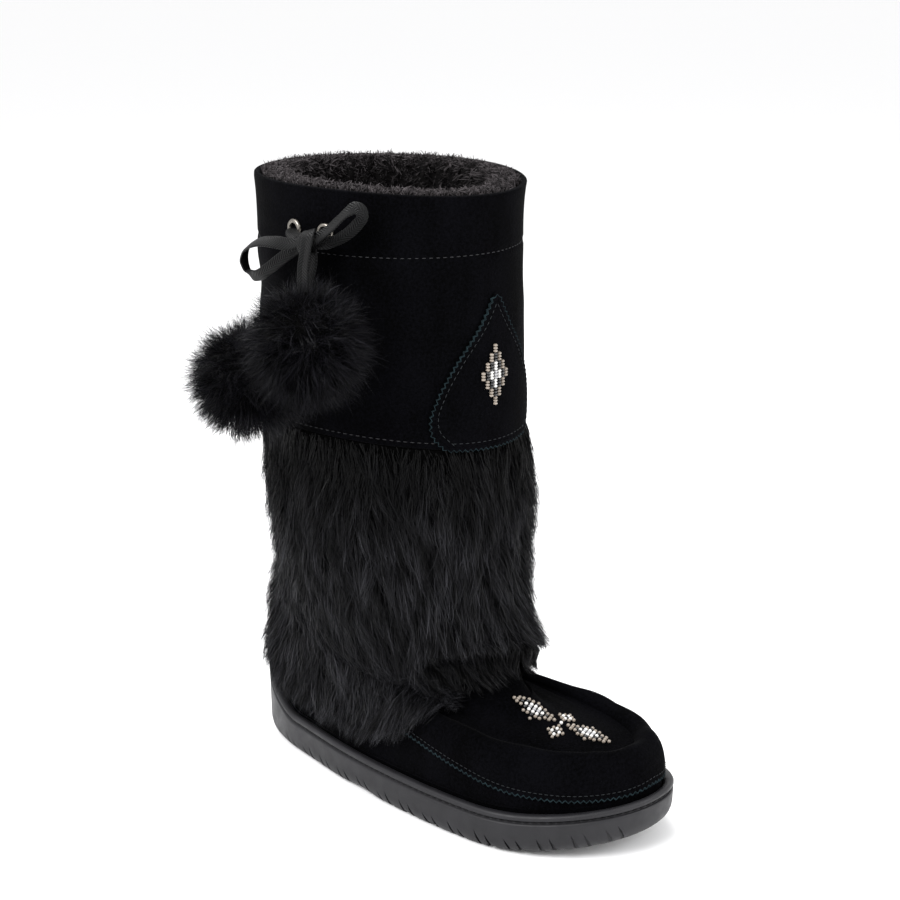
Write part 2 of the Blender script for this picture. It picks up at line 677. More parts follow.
inside_levels = (TOP_LEVEL, TOP_LEVEL - 0.03, TOP_LEVEL - 0.1, LEVEL["drawn"], LEVEL["channel"],
                 LEVEL["shaft"], LEVEL["hem"], LEVEL["calf"], LEVEL["lower_leg"], LEVEL["ankle"],
                 LEVEL["instep"], LEVEL["plug_mid"], LEVEL["plug_toe"], LEVEL["roll"],
                 LEVEL["side"], LEVEL["over_lip"], LEVEL["floor"])
for n, level in enumerate(inside_levels):
    under = float(tuck(level)) if level != LEVEL["hem"] else FUR_INSET / 2.0
    upper_rings.append(on_boot(upper_angles, level, -under - WALL + (0.0011, 0.0003, 0.0)[min(n, 2)]))
upper = add_piece("suede_upper", np.concatenate(upper_rings),
                  round_faces(len(upper_rings), len(upper_angles)), suede)
set_down(upper, "suede", "upper")


# Insole
# A flat felt foot bed in the cup, seen only from above down the shaft.

felt, felt_tree, felt_shader = new_material("insole_felt", (0.02, 0.019, 0.018), 0.95,
                                            Specular_IOR_Level=0.1)
bump(felt_tree, felt_shader, noise(felt_tree, 1200.0, 3.0), 0.0003)
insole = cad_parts["insole"]
insole.data.materials.clear()
insole.data.materials.append(felt)


# Moccasin front
# A strip that rolls from the pinked seam over the crest down to the plug, the sunk plug
# itself, and the counter round the heel, all of the same suede.

VAMP_HALF, PLUG_HALF, COUNTER_HALF = 108.0, 99.0, 54.0
SEAM_HEIGHTS = (
    # degrees from straight ahead, height
    (0.0, 0.0386),
    (20.0, 0.0362),
    (40.0, 0.0350),
    (55.0, 0.0366),
    (70.0, 0.0420),
    (85.0, 0.0492),
    (108.0, 0.0590),
)


def slab(name, angles, levels, inner, outer, material):
    """An overlay: a grid of the surface between two offsets, closed round its edge."""
    rows, columns = levels.shape
    count = rows * columns
    points = np.concatenate([on_boot(angles, levels, inner).reshape(-1, 3),
                             on_boot(angles, levels, outer).reshape(-1, 3)])
    quads = grid_faces(rows, columns, wrap=False)
    faces = np.concatenate([quads + count, quads[:, ::-1]])
    r, c = np.arange(rows), np.arange(columns)
    edge = np.concatenate([c[:-1], r[:-1] * columns + columns - 1,
                           ((rows - 1) * columns + c)[:0:-1], (r * columns)[:0:-1]])
    after = np.roll(edge, -1)
    walls = np.stack([edge, after, after + count, edge + count], axis=-1)
    return add_piece(name, points, np.concatenate([faces, walls]), material, sharp=50.0)


def seam_levels(angles):
    """The pinked seam: low round the toe, rising under the fur at both sides."""
    turn = np.abs(np.degrees(angles - math.pi))
    heights = table_curve(*two_columns(SEAM_HEIGHTS), turn)
    levels = np.linspace(LEVEL["over_lip"], LEVEL["crest"], 200)
    return np.array([np.interp(z, on_boot(np.full(200, a), levels)[:, 2], levels)
                     for a, z in zip(angles, heights)])


# Puckers of the strip where it is eased round the toe: degrees from straight ahead, level
# from the crest, width in degrees, depth
PUCKERS = (
    (-62.0, 0.2, 3.0, 0.0007), (-48.0, -0.1, 2.4, 0.0009), (-37.0, 0.3, 2.2, 0.0008),
    (-24.0, 0.0, 2.6, 0.0007), (-8.0, 0.2, 3.0, 0.0006), (9.0, 0.1, 2.8, 0.0006),
    (27.0, 0.3, 2.6, 0.0007), (41.0, 0.0, 3.0, 0.0008), (58.0, 0.2, 3.4, 0.0008),
    (74.0, -0.1, 3.2, 0.0007),
)

vamp_angles = np.radians(np.linspace(-VAMP_HALF, VAMP_HALF, 260)) + math.pi
vamp_share = np.linspace(0.0, 1.0, 44)[:, None]
vamp_levels = seam_levels(vamp_angles) * (1.0 - vamp_share) + vamp_share * (LEVEL["plug_edge"] - 0.05)
vamp_grid = np.broadcast_to(vamp_angles, vamp_levels.shape)
vamp_turn = np.degrees(math.pi - vamp_grid)
vamp_relief = np.zeros(vamp_levels.shape)
for degrees, place, width, depth in PUCKERS:
    reach = np.exp(-((vamp_levels - LEVEL["crest"] - place) / 0.75) ** 2)
    vamp_relief -= depth * (0.3 if degrees < 0.0 else 0.7) * reach * np.exp(
        -((vamp_turn - degrees) / width) ** 2)
vamp_relief -= 0.0016 * smooth((-vamp_turn - 12.0) / 20.0) * np.sin(math.pi * vamp_share)
vamp_relief -= 0.0026 * np.exp(-((vamp_share - 1.0) / 0.05) ** 2)
vamp_relief += 0.0011 * np.sin(math.pi * np.clip(vamp_share * 1.05, 0.0, 1.0)) ** 0.7
crease = np.exp(-((vamp_share - 0.44) / 0.05) ** 2) * np.exp(-((vamp_turn - 44.0) / 12.0) ** 2)
vamp_relief -= 0.0010 * crease
vamp_relief += 0.0004 * np.sin(vamp_turn * 0.31) * np.sin(math.pi * vamp_share)
vamp = slab("suede_vamp_wrap", vamp_grid, vamp_levels, -OVERLAY, vamp_relief, suede)
set_down(vamp, "suede", "vamp_wrap")

plug_angles = np.radians(np.linspace(-PLUG_HALF, PLUG_HALF, 200)) + math.pi
plug_rows = np.linspace(LEVEL["plug_edge"] + 0.02, LEVEL["plug_mid"] + 0.4, 40)[:, None]
plug_grid = np.broadcast_to(plug_angles, (40, 200))
plug_levels = np.broadcast_to(plug_rows, (40, 200))
plug_relief = 0.0006 * smooth((plug_levels - LEVEL["plug_edge"]) / 0.3) - 0.0010
plug_relief = plug_relief + 0.0003 * np.sin(np.degrees(plug_grid) * 0.13 + 3.0 * plug_levels)
plug = slab("suede_plug", plug_grid, plug_levels, -OVERLAY, plug_relief, suede)
set_down(plug, "suede", "plug")

counter_angles = np.radians(np.linspace(-COUNTER_HALF, COUNTER_HALF, 90))
counter_rows = np.linspace(LEVEL["over_lip"] + 0.15, LEVEL["crest"], 16)[:, None]
counter_grid = np.broadcast_to(counter_angles, (16, 90))
counter = slab("suede_heel_counter", counter_grid, np.broadcast_to(counter_rows, (16, 90)),
               -OVERLAY, 0.0, suede)
set_down(counter, "suede", "heel_counter")


# Pinked edges and the seams beside them
# The raw edges of the suede are cut in small teeth and show a teal grey flesh side, with a
# row of thread a few millimetres inside.

def pinked_strip(line, normals, outward, pitch=0.0032, tooth=0.0016, stand=0.0002,
                 thick=0.0015, slant=0.0009, band=0.0006):
    """Teeth along a line: points and faces of a thin zigzag strip."""
    walked = np.concatenate([[0.0], np.cumsum(np.linalg.norm(np.diff(line, axis=0), axis=1))])
    count = 2 * int(walked[-1] / pitch)
    at = np.linspace(0.0, walked[-1], count + 1)

    def along(values):
        return np.stack([np.interp(at, walked, values[:, k]) for k in range(3)], axis=1)

    base, up, out = along(line), along(normals), along(outward)
    reach = np.where(np.arange(count + 1) % 2 == 1, tooth, 0.1 * tooth)[:, None]
    inner, rim, tip = base - out * 0.0014, base + out * (reach - band), base + out * reach
    points = np.concatenate([inner - up * (thick - stand), tip - up * (thick - stand) + out * slant,
                             inner + up * stand, tip + up * stand, rim + up * stand])
    n = count + 1
    faces = []
    for i in range(count):
        j = i + 1
        faces += [(2 * n + i, 4 * n + i, 4 * n + j, 2 * n + j), (i, j, n + j, n + i),
                  (n + i, n + j, 3 * n + j, 3 * n + i), (i, 2 * n + i, 2 * n + j, j),
                  (4 * n + i, 3 * n + i, 3 * n + j, 4 * n + j)]
    faces += [(0, n, 3 * n, 4 * n, 2 * n),
              (count, 2 * n + count, 4 * n + count, 3 * n + count, n + count)]
    return points, faces


def frame_of(line, inside):
    """Normals of a line on the boot, found from a second line beside it, and its outside."""
    step = np.gradient(line, axis=0)
    step /= np.linalg.norm(step, axis=1)[:, None]
    inward = inside - line
    inward -= step * np.sum(inward * step, axis=1)[:, None]
    inward /= np.linalg.norm(inward, axis=1)[:, None]
    return np.cross(step, inward), -inward


def pinked_piece(name, lines, material, slant=0.0009, band=0.0006):
    """One piece of all the strips given as a line and a line just inside it."""
    points, faces, cut_faces = [], [], set()
    for line, inside, flip in lines:
        up, out = frame_of(line, inside)
        made, quads = pinked_strip(line, up * flip, out, slant=slant, band=band)
        cut_faces |= {len(faces) + n for n in range(len(quads) - 2) if n % 5 in (2, 4)}
        faces += [tuple(v + len(points) for v in quad) for quad in quads]
        points += list(made)
    piece = add_piece(name, points, faces, material, sharp=30.0)
    piece.data.materials.append(suede)
    for face in piece.data.polygons:
        face.material_index = 0 if face.index in cut_faces else 1
    face_outwards(piece.data)
    return piece


raw_edge, raw_tree, raw_shader = new_material("raw_suede_edge", (0.007, 0.013, 0.016), 0.95,
                                              Specular_IOR_Level=0.1)
raw_tree.links.new(ramp(raw_tree, noise(raw_tree, 420.0, 2.0), (0.3, (0.0035, 0.007, 0.0085)),
                        (0.7, (0.011, 0.021, 0.025))), raw_shader.inputs["Base Color"])
bump(raw_tree, raw_shader, noise(raw_tree, 1500.0, 2.0), 0.0003)

seam_angles = np.radians(np.linspace(-VAMP_HALF + 4.0, VAMP_HALF - 4.0, 500)) + math.pi
seam_line = on_boot(seam_angles, seam_levels(seam_angles), 0.0001)
seam_inside = on_boot(seam_angles, seam_levels(seam_angles) + 0.2, 0.0)
counter_edges = []
for side in (-1.0, 1.0):
    rows = np.linspace(LEVEL["over_lip"] + 0.15, LEVEL["crest"], 60)
    turn = math.radians(COUNTER_HALF)
    counter_edges.append((on_boot(side * turn, rows), on_boot(side * (turn - 0.05), rows), -side))
seam_teeth = pinked_piece("pinked_seams", [(seam_line, seam_inside, 1.0), *counter_edges],
                          raw_edge)
set_down(seam_teeth, "suede")

dark_thread = thread_finish("charcoal_thread", (0.011, 0.013, 0.015))
seam_at = seam_levels(seam_angles)
per_level = np.linalg.norm(on_boot(seam_angles, seam_at + 0.1) - on_boot(seam_angles, seam_at),
                           axis=1) / 0.1
seam_row = on_boot(seam_angles, seam_at + 0.0027 / per_level, 0.0007)
counter_rows_of_thread = []
for side in (-1.0, 1.0):
    rows = np.linspace(LEVEL["over_lip"] + 0.2, LEVEL["crest"], 60)
    counter_rows_of_thread.append(on_boot(side * (math.radians(COUNTER_HALF) - 0.045), rows, 0.0001))
seam_stitches = stitch_rows("seam_stitches", [seam_row, *counter_rows_of_thread], dark_thread,
                            pitch=0.0030, length=0.0022, radius=0.00022)
set_down(seam_stitches, "suede")


# Shaft stitches
# The drawstring channel is closed by one row of grey thread round the shaft, and the folded
# hem by another.

grey_thread = thread_finish("grey_thread", (0.021, 0.021, 0.023))
ring_degrees = np.linspace(0.0, 360.0, 400)
channel_row = on_shaft(ring_degrees, CHANNEL_HEIGHT)
channel_row = on_shaft(ring_degrees, CHANNEL_HEIGHT,
                       shaft_relief(ring_degrees, channel_row[:, 2]) + 0.00012)
hem_dips = HEM_DIP * np.clip(np.cos(np.radians(ring_degrees)), 0.0, 1.0) ** 2
hem_heights = HEM_HEIGHT + 0.0042 - hem_dips
hem_row = on_shaft(ring_degrees, hem_heights,
                   shaft_relief(ring_degrees, hem_heights) + 0.00012)
shaft_stitches = stitch_rows("shaft_stitches", [channel_row, hem_row], grey_thread,
                             pitch=0.0037, length=0.0024, radius=0.00026)
set_down(shaft_stitches, "suede")


# Leaf patch
# A pointed patch of suede on the shaft's front, with a pinked edge and a row of thread
# inside it, cut level with the hem below.

PATCH_TOP, PATCH_HALF_WIDTH, PATCH_ANGLE, PATCH_OVER_HEM = 0.2930, 0.0406, 3.0, 0.0012
PATCH_SHAPE = (
    # down from the tip, half width, as shares
    (0.00, 0.02),
    (0.18, 0.24),
    (0.45, 0.66),
    (0.70, 0.93),
    (0.82, 1.00),
    (0.93, 0.95),
    (1.00, 0.80),
)


def patch_place(down, across, inset=0.0):
    """Degrees and height of a place on the patch: down from the tip, across from -1 to 1."""
    half = PATCH_HALF_WIDTH * table_curve(*two_columns(PATCH_SHAPE), down)
    half = np.maximum(half - inset * 1.15, 0.0002)
    degrees = PATCH_ANGLE - np.degrees(across * half / SHAFT_RADIUS)
    dip = HEM_DIP * np.clip(np.cos(np.radians(degrees)), 0.0, 1.0) ** 2
    bottom = HEM_HEIGHT - dip + PATCH_OVER_HEM
    top = PATCH_TOP
    return degrees, bottom + inset + (top - bottom - inset) * (1.0 - down)


down_rows, across_columns = np.meshgrid(np.linspace(1.0, 0.0, 60), np.linspace(-1.0, 1.0, 40),
                                        indexing="ij")
patch_degrees, patch_heights = patch_place(down_rows, across_columns)
patch_angles = shaft_angle(patch_degrees)
patch_levels = level_at_height(patch_angles, patch_heights)
patch_lift = 2.0 * GAP + OVERLAY + shaft_relief(patch_degrees, patch_heights)
patch = slab("suede_leaf_patch", patch_angles, patch_levels, 0.0003, patch_lift, suede)
set_down(patch, "suede", "leaf_patch")


def patch_outline(inset, lift):
    """The patch's edge from its lower inner corner over the tip to the other corner."""
    top = 0.02 + inset * 16.0
    down = np.concatenate([np.linspace(1.0, top, 120), np.linspace(top, 1.0, 120)])
    across = np.concatenate([np.full(120, 1.0), np.full(120, -1.0)])
    degrees, heights = patch_place(down, across, inset)
    return on_shaft(degrees, heights, lift + shaft_relief(degrees, heights))


def patch_foot(inset, lift):
    degrees, heights = patch_place(np.full(80, 1.0), np.linspace(-0.98, 0.98, 80), inset)
    return on_shaft(degrees, heights, lift + shaft_relief(degrees, heights))


PATCH_FACE = 2.0 * GAP + OVERLAY
patch_teeth = pinked_piece("pinked_patch_edge",
                           [(patch_outline(0.0, PATCH_FACE), patch_outline(0.003, PATCH_FACE), 1.0),
                            (patch_foot(0.0, PATCH_FACE), patch_foot(0.003, PATCH_FACE), 1.0)],
                           raw_edge, slant=0.0, band=0.0004)
set_down(patch_teeth, "suede")
patch_stitches = stitch_rows("patch_stitches", [patch_outline(0.0030, PATCH_FACE + 0.0001),
                                                patch_foot(0.0034, PATCH_FACE + 0.0001)],
                             dark_thread, pitch=0.0034, length=0.0024, radius=0.00022)
set_down(patch_stitches, "suede")


# Bead work
# Glass seed beads sewn down in rows: a plain traditional diamond on the patch, and a star of
# four diamonds on the plug. The charts are drawn by hand, a letter to a bead: t taupe,
# w white, s silver grey, k black.

BEAD_SHADES = {"t": (0.235, 0.200, 0.165), "w": (0.70, 0.69, 0.67), "s": (0.36, 0.36, 0.37),
               "k": (0.012, 0.012, 0.013)}
DIAMOND_CHART = (
    # a letter here is a short string of three beads
    "   t   ",
    "  tkt  ",
    " tkwkt ",
    "tkwswkt",
    " tkwkt ",
    "  tkt  ",
    "   t   ",
)


def at_places(tree, given):
    turn = add_node(tree, "GeometryNodeInputNamedAttribute", {"Name": "turn"},
                    data_type="FLOAT_VECTOR")
    return given["Geometry"], turn.outputs["Attribute"]


def glass_finish():
    material, tree, shader = new_material("bead_glass", (0.5, 0.5, 0.5), 0.16,
                                          Specular_IOR_Level=0.6)
    shade = add_node(tree, "ShaderNodeAttribute", attribute_name="shade")
    tree.links.new(shade.outputs["Color"], shader.inputs["Base Color"])
    return material


BEAD_GLASS = glass_finish()
BEAD_TREE = repeat_tree("sewn_beads", ("Bead Radius", "Bead Length"), "Glass", at_places, 10, 7)


def sew_beads(name, places, turns, shades, radius, length):
    """One piece of beads at places, with the axis of each bead along its turn's Z."""
    mesh = bpy.data.meshes.new(name)
    mesh.from_pydata([tuple(place) for place in places], [], [])
    turn = mesh.attributes.new("turn", "FLOAT_VECTOR", "POINT")
    turn.data.foreach_set("vector", np.array(turns, float).ravel())
    shade = mesh.attributes.new("shade", "FLOAT_COLOR", "POINT")
    shade.data.foreach_set("color", np.array([(*s, 1.0) for s in shades], float).ravel())
    source = new_object(name, mesh)
    return through_nodes(source, BEAD_TREE, {"Bead Radius": radius, "Bead Length": length / 2.0,
                                             "Glass": BEAD_GLASS}, name)


def chart_beads(chart, pitch_across, pitch_down):
    """Places of a chart's beads from its middle: across, down and letter."""
    beads = []
    for row, line in enumerate(chart):
        for column, letter in enumerate(line):
            if letter != " ":
                beads.append(((column - (len(line) - 1) / 2.0) * pitch_across,
                              (row - (len(chart) - 1) / 2.0) * pitch_down, letter))
    return beads


dice = random.Random(5)
DIAMOND_ANGLE, DIAMOND_HEIGHT = 4.6, 0.2498
CELL_ACROSS, CELL_DOWN, STRING = 0.00285, 0.00480, 3
places, turns, shades = [], [], []
for across, down, letter in chart_beads(DIAMOND_CHART, CELL_ACROSS, CELL_DOWN):
    degrees = DIAMOND_ANGLE - math.degrees(across / SHAFT_RADIUS) + dice.uniform(-0.12, 0.12)
    for bead in range(STRING):
        height = DIAMOND_HEIGHT - down + (bead - 1) * CELL_DOWN / STRING
        place = on_shaft([degrees], [height], PATCH_FACE + 0.0006)[0]
        upward = on_shaft([degrees], [height + 0.002], PATCH_FACE + 0.0006)[0] - place
        turn = Vector(upward).to_track_quat("Z", "Y").to_euler()
        places.append(place)
        turns.append((turn.x + dice.uniform(-0.07, 0.07), turn.y + dice.uniform(-0.07, 0.07),
                      turn.z))
        shades.append(BEAD_SHADES[letter])
patch_beads = sew_beads("patch_beads", places, turns, shades, 0.00124, 0.00160)
set_down(patch_beads, "nickel")

# The star's four diamonds: way of the long axis in degrees from the toe line, distance of
# its middle from the star's, chart
LONG_DIAMOND = (
    "   t   ",
    "  ttt  ",
    "  tkt  ",
    " tkwkt ",
    " twswt ",
    "tkwswkt",
    " twswt ",
    " tkwkt ",
    "  tkt  ",
    "  ttt  ",
    "   t   ",
)
SHORT_DIAMOND = (
    "  t  ",
    " twt ",
    "twkwt",
    " twt ",
    "  t  ",
)
STAR_MIDDLE, STAR_TURN = (0.0000, 0.2183 - HEEL_REST), -16.4
STAR = ((0.0, 0.0161, LONG_DIAMOND), (180.0, 0.0161, LONG_DIAMOND),
        (90.0, 0.0084, SHORT_DIAMOND), (270.0, 0.0084, SHORT_DIAMOND))


def plug_height_map():
    """Heights of the plug's face, to set beads on it by their plan."""
    points = on_boot(plug_grid, plug_levels, plug_relief).reshape(-1, 3)
    return points[:, :2], points[:, 2]


plug_plan, plug_tops = plug_height_map()


def plug_top(x, y):
    near = np.argsort(np.hypot(plug_plan[:, 0] - x, plug_plan[:, 1] - y))[:4]
    weight = 1.0 / (np.hypot(plug_plan[near, 0] - x, plug_plan[near, 1] - y) + 0.0005)
    return float(np.sum(plug_tops[near] * weight) / np.sum(weight))


places, turns, shades = [], [], []
for heading, distance, chart in STAR:
    angle = math.radians(heading + STAR_TURN)
    ahead, across_way = Vector((math.sin(angle), math.cos(angle))), Vector((math.cos(angle),
                                                                            -math.sin(angle)))
    for across, down, letter in chart_beads(chart, 0.0021, 0.0024):
        spot = Vector(STAR_MIDDLE) + ahead * (distance - down) + across_way * across
        top = plug_top(spot.x, spot.y)
        further = spot + across_way * 0.003
        rise = plug_top(further.x, further.y) - top
        turn = Vector((across_way.x * 0.003, across_way.y * 0.003, rise)).to_track_quat("Z", "Y")
        places.append((spot.x, spot.y, top + 0.0008))
        turns.append(tuple(turn.to_euler()))
        shades.append(BEAD_SHADES[letter])
places.append((STAR_MIDDLE[0], STAR_MIDDLE[1], plug_top(*STAR_MIDDLE) + 0.0008))
turns.append((0.0, math.pi / 2.0, 0.0))
shades.append(BEAD_SHADES["w"])
plug_beads = sew_beads("plug_beads", places, turns, shades, 0.00108, 0.0019)
set_down(plug_beads, "nickel")


# Fur sleeve
# Long black fur round the leg from the hem to the foot, its hair combed down in locks. Each
# hair is a thin tapered ribbon, and a dark hide lies under them.

FUR_TIPS = (
    # where the lowest tips hang: degrees from straight ahead, label, further
    (0.0, "plug_mid", 0.80),
    (15.0, "plug_mid", 0.73),
    (35.0, "plug_mid", 0.54),
    (45.0, "plug_mid", 0.36),
    (55.0, "plug_toe", 0.90),
    (65.0, "plug_toe", 0.10),
    (75.0, "crest", 0.30),
    (85.0, "over_lip", 0.85),
    (95.0, "over_lip", 0.50),
    (105.0, "over_lip", 0.35),
    (135.0, "over_lip", 0.35),
    (180.0, "over_lip", 0.50),
)
FUR_RIM = (
    # where the fullest fur ends over the instep: degrees towards the outer side, level
    (-90.0, 10.90),
    (-40.0, 11.05),
    (-20.0, 11.22),
    (0.0, 11.42),
    (20.0, 11.62),
    (40.0, 11.62),
    (60.0, 10.90),
    (88.0, 10.00),
)
FUR_COLUMNS = 360


def sleeve_chart():
    """Lengths of surface down from the hem, for a column to each degree."""
    angles = ring_angles(FUR_COLUMNS)
    levels = np.linspace(LEVEL["hem"] + 0.02, LEVEL["lip"], 400)
    points = on_boot(angles[:, None], levels[None, :])
    steps = np.linalg.norm(np.diff(points, axis=1), axis=2)
    walked = np.concatenate([np.zeros((FUR_COLUMNS, 1)), np.cumsum(steps, axis=1)], axis=1)
    turn = np.degrees(np.abs(math.pi - angles))
    tips = np.interp(turn, [row[0] for row in FUR_TIPS],
                     [LEVEL[label] + more for _, label, more in FUR_TIPS])
    ends = np.array([np.interp(-tip, -levels, row) for tip, row in zip(tips, walked)])
    signed = np.degrees(math.pi - angles)
    rims = np.interp(signed, *two_columns(FUR_RIM))
    bags = np.array([np.interp(-rim, -levels, row) for rim, row in zip(rims, walked)])
    return levels, walked, ends, bags


SLEEVE_LEVELS, SLEEVE_DOWN, SLEEVE_END, SLEEVE_BAG = sleeve_chart()


def round_column(values, angles):
    """A value kept for each degree, read between degrees."""
    place = np.mod(angles / (2.0 * math.pi), 1.0) * FUR_COLUMNS
    low = place.astype(int) % FUR_COLUMNS
    t = place - place.astype(int)
    return values[low] * (1.0 - t) + values[(low + 1) % FUR_COLUMNS] * t


def fallen_level(angles, down):
    """The level that lies a length of surface down from the hem."""
    columns = np.mod(np.round(angles / (2.0 * math.pi) * FUR_COLUMNS), FUR_COLUMNS).astype(int)
    found = np.empty(len(angles))
    for column in range(FUR_COLUMNS):
        chosen = columns == column
        found[chosen] = np.interp(down[chosen], SLEEVE_DOWN[column], SLEEVE_LEVELS)
    return found


def front_share(angles):
    """One at the front of the ankle, none at the sides' back."""
    turn = np.degrees(math.pi - np.mod(angles, 2.0 * math.pi))
    return smooth((np.where(turn > 0.0, 62.0, 88.0) - np.abs(turn)) / 26.0)


def bag(angles, down):
    """How far the fur hangs out over the instep, where it is fullest at the ankle."""
    near = (down - round_column(SLEEVE_BAG, angles)) / 0.030
    rise = np.where(near < 0.0, np.exp(-near * near * 1.6), np.exp(-(near / 0.28) ** 2))
    return 0.0085 * front_share(angles) * rise


def fullness(angles, down):
    """The fur stands out further on the front's inner side, from the hem downwards."""
    turn = np.mod(np.degrees(math.pi - angles) + 180.0, 360.0) - 180.0
    return 0.0046 * np.exp(-((turn + 41.0) / 46.0) ** 2) * smooth(down / 0.012 + 0.3)


def hide_base(levels):
    return FUR_CLEARANCE - FUR_INSET * smooth((levels - LEVEL["plug_mid"] - 0.6) / 1.2)


def fur_finish(name, root, tip, gloss, shine=0.10):
    """Hair: dark at the root, a little paler at the tip, with a soft shine along it."""
    material, tree, shader = new_material(name, root, gloss, Specular_IOR_Level=shine)
    along = add_node(tree, "ShaderNodeAttribute", attribute_name="along")
    tint = add_node(tree, "ShaderNodeAttribute", attribute_name="tint")
    mixed = add_node(tree, "ShaderNodeMath", {0: along.outputs["Fac"], 1: tint.outputs["Fac"]},
                     operation="MULTIPLY")
    tree.links.new(ramp(tree, mixed.outputs["Value"], (0.0, root), (1.0, tip)),
                   shader.inputs["Base Color"])
    return material


def hair_piece(name, paths, widths, sides, tints, material):
    """Hairs as ribbons: paths are hairs by points by 3, widths by point, sides give each
    hair's flat way."""
    hairs, count = paths.shape[:2]
    half = sides[:, None, :] * widths[None, :-1, None] / 2.0
    left, right = paths[:, :-1] - half, paths[:, :-1] + half
    points = np.concatenate([np.stack([left, right], axis=2).reshape(hairs, -1, 3),
                             paths[:, -1:]], axis=1)
    per = points.shape[1]
    quads, tips = [], None
    base = np.arange(hairs)[:, None] * per
    for k in range(count - 2):
        quads.append(base + np.array([2 * k, 2 * k + 1, 2 * k + 3, 2 * k + 2])[None, :])
    tips = base + np.array([2 * count - 4, 2 * count - 3, 2 * count - 2])[None, :]
    quads = np.concatenate(quads)
    mesh = bpy.data.meshes.new(name)
    mesh.vertices.add(hairs * per)
    mesh.vertices.foreach_set("co", points.astype(np.float32).ravel())
    corners = np.concatenate([quads.ravel(), tips.ravel()]).astype(np.int32)
    starts = np.concatenate([np.arange(len(quads)) * 4,
                             len(quads) * 4 + np.arange(hairs) * 3]).astype(np.int32)
    mesh.loops.add(len(corners))
    mesh.loops.foreach_set("vertex_index", corners)
    mesh.polygons.add(len(starts))
    mesh.polygons.foreach_set("loop_start", starts)
    along = np.repeat(np.linspace(0.0, 1.0, count), 2)[:per]
    mesh.attributes.new("along", "FLOAT", "POINT").data.foreach_set(
        "value", np.tile(along, hairs).astype(np.float32))
    mesh.attributes.new("tint", "FLOAT", "POINT").data.foreach_set(
        "value", np.repeat(tints, per).astype(np.float32))
    mesh.update()
    mesh.validate()
    mesh.materials.append(material)
    mesh.shade_smooth()
    return new_object(name, mesh)


def unit(vectors):
    return vectors / np.maximum(np.linalg.norm(vectors, axis=-1, keepdims=True), 1e-9)


FUR_HAIRS, FUR_POINTS = 78000, 4
FUR_LENGTH, FUR_LOCKS = 0.026, 2300
chance = np.random.default_rng(11)
black_fur = fur_finish("black_fur", (0.0003, 0.0003, 0.0004), (0.0560, 0.0560, 0.0640), 0.38)


def sleeve_roots(count, clear):
    """Roots spread evenly over the sleeve, as angles and lengths down from the hem."""
    angles = chance.uniform(0.0, 2.0 * math.pi, 4 * count)
    down = SLEEVE_END.max() * chance.uniform(0.0, 1.0, 4 * count)
    levels = fallen_level(angles, down)
    girth = np.linalg.norm(on_boot(angles + 0.01, levels) - on_boot(angles - 0.01, levels), axis=1)
    keep = (down < round_column(SLEEVE_END, angles) - clear)
    keep &= chance.uniform(0.0, 1.0, 4 * count) < girth / girth.max()
    return angles[keep][:count], down[keep][:count]


def nearest_lock(angles, down, lock_angles, lock_down):
    tree = KDTree(len(lock_angles))
    for number, (a, d) in enumerate(zip(lock_angles, lock_down)):
        tree.insert((a * SHAFT_RADIUS, 0.55 * d, 0.0), number)
    tree.balance()
    return np.array([tree.find((a * SHAFT_RADIUS, 0.55 * d, 0.0))[1]
                     for a, d in zip(angles, down)])


